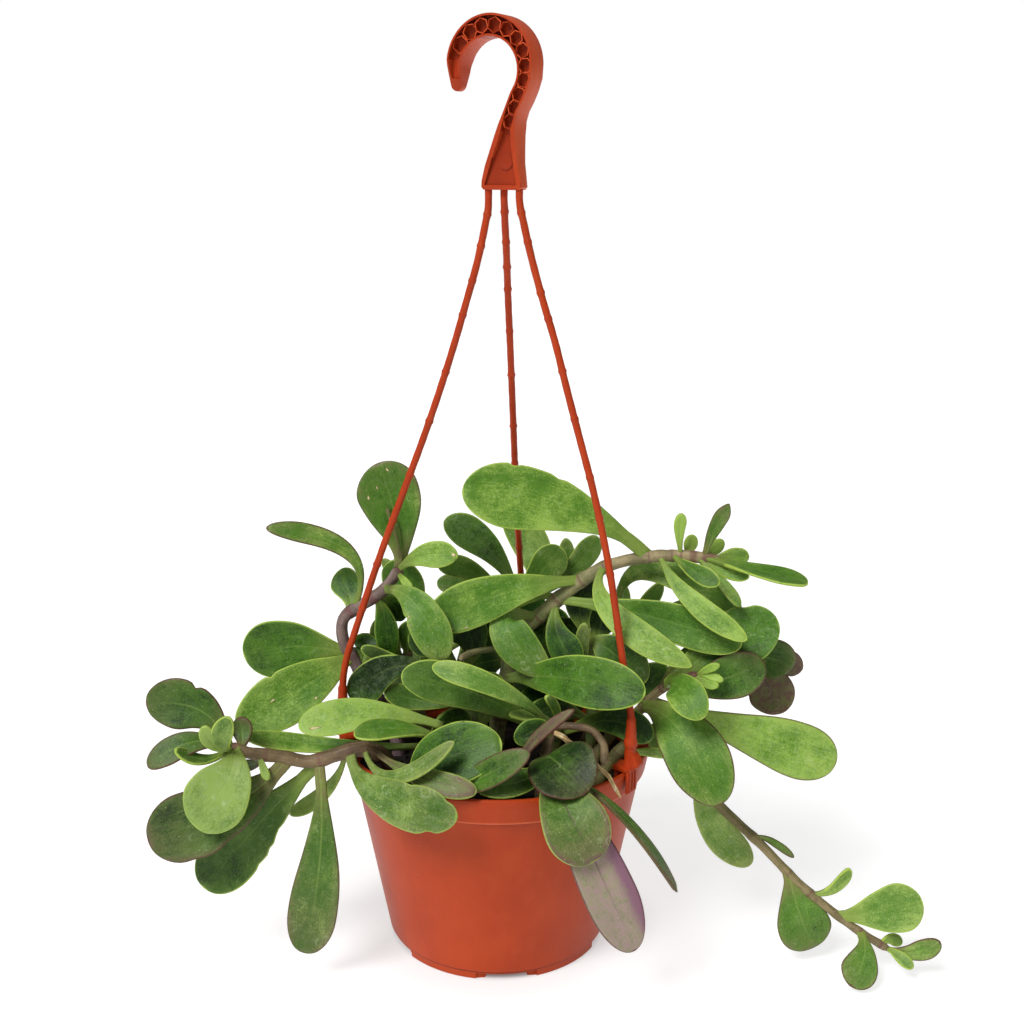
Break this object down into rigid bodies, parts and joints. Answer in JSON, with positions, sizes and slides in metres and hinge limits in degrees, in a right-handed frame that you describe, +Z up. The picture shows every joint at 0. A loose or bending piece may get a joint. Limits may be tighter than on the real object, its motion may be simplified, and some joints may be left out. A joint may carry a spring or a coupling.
{
  "type": "trailing pot plant",
  "caption": "Trailing jade plant with fleshy spoon-shaped leaves in a tapered plastic pot with a clip-on hanger of strands and a hook.",
  "frame": {"origin": "on the pot's axis, at the surface that the pot's foot stands on", "axes": "+Z up; -Y towards the side the picture was taken from, +X to the right seen from that side"},
  "size_m": [0.3695, 0.2027, 0.4365],
  "materials": {
    "leaf_green": "waxy mid-green leaf",
    "leaf_dark": "waxy dark green leaf",
    "leaf_pale": "waxy pale green leaf",
    "pot": "terracotta-coloured",
    "soil": "loose dark potting soil",
    "hanger": "satin moulded plastic"
  },
  "bodies": {
    "root": {"leafy_stem_arching": "leaf_green", "leafy_stem_upper_left": "leaf_green", "leafy_stem_left": "leaf_dark", "leafy_stem_front_left": "leaf_green", "leafy_stem_front": "leaf_dark", "leafy_stem_centre": "leaf_pale", "leafy_stem_inner": "leaf_dark", "leafy_stem_inner_right": "leaf_dark", "leafy_stem_right": "leaf_green", "leafy_stem_far_right": "leaf_dark", "leafy_stem_trailing": "leaf_pale", "leafy_stem_back": "leaf_pale", "leafy_stem_back_left": "leaf_green", "leafy_stem_back_right": "leaf_pale", "leafy_stem_rear_left": "leaf_green", "leafy_stem_rear_right": "leaf_green", "pot": "pot", "soil": "soil", "hanger_hook": "hanger", "hanger_strand_left": "hanger", "hanger_strand_right": "hanger", "hanger_strand_back": "hanger"}
  },
  "joints": []
}
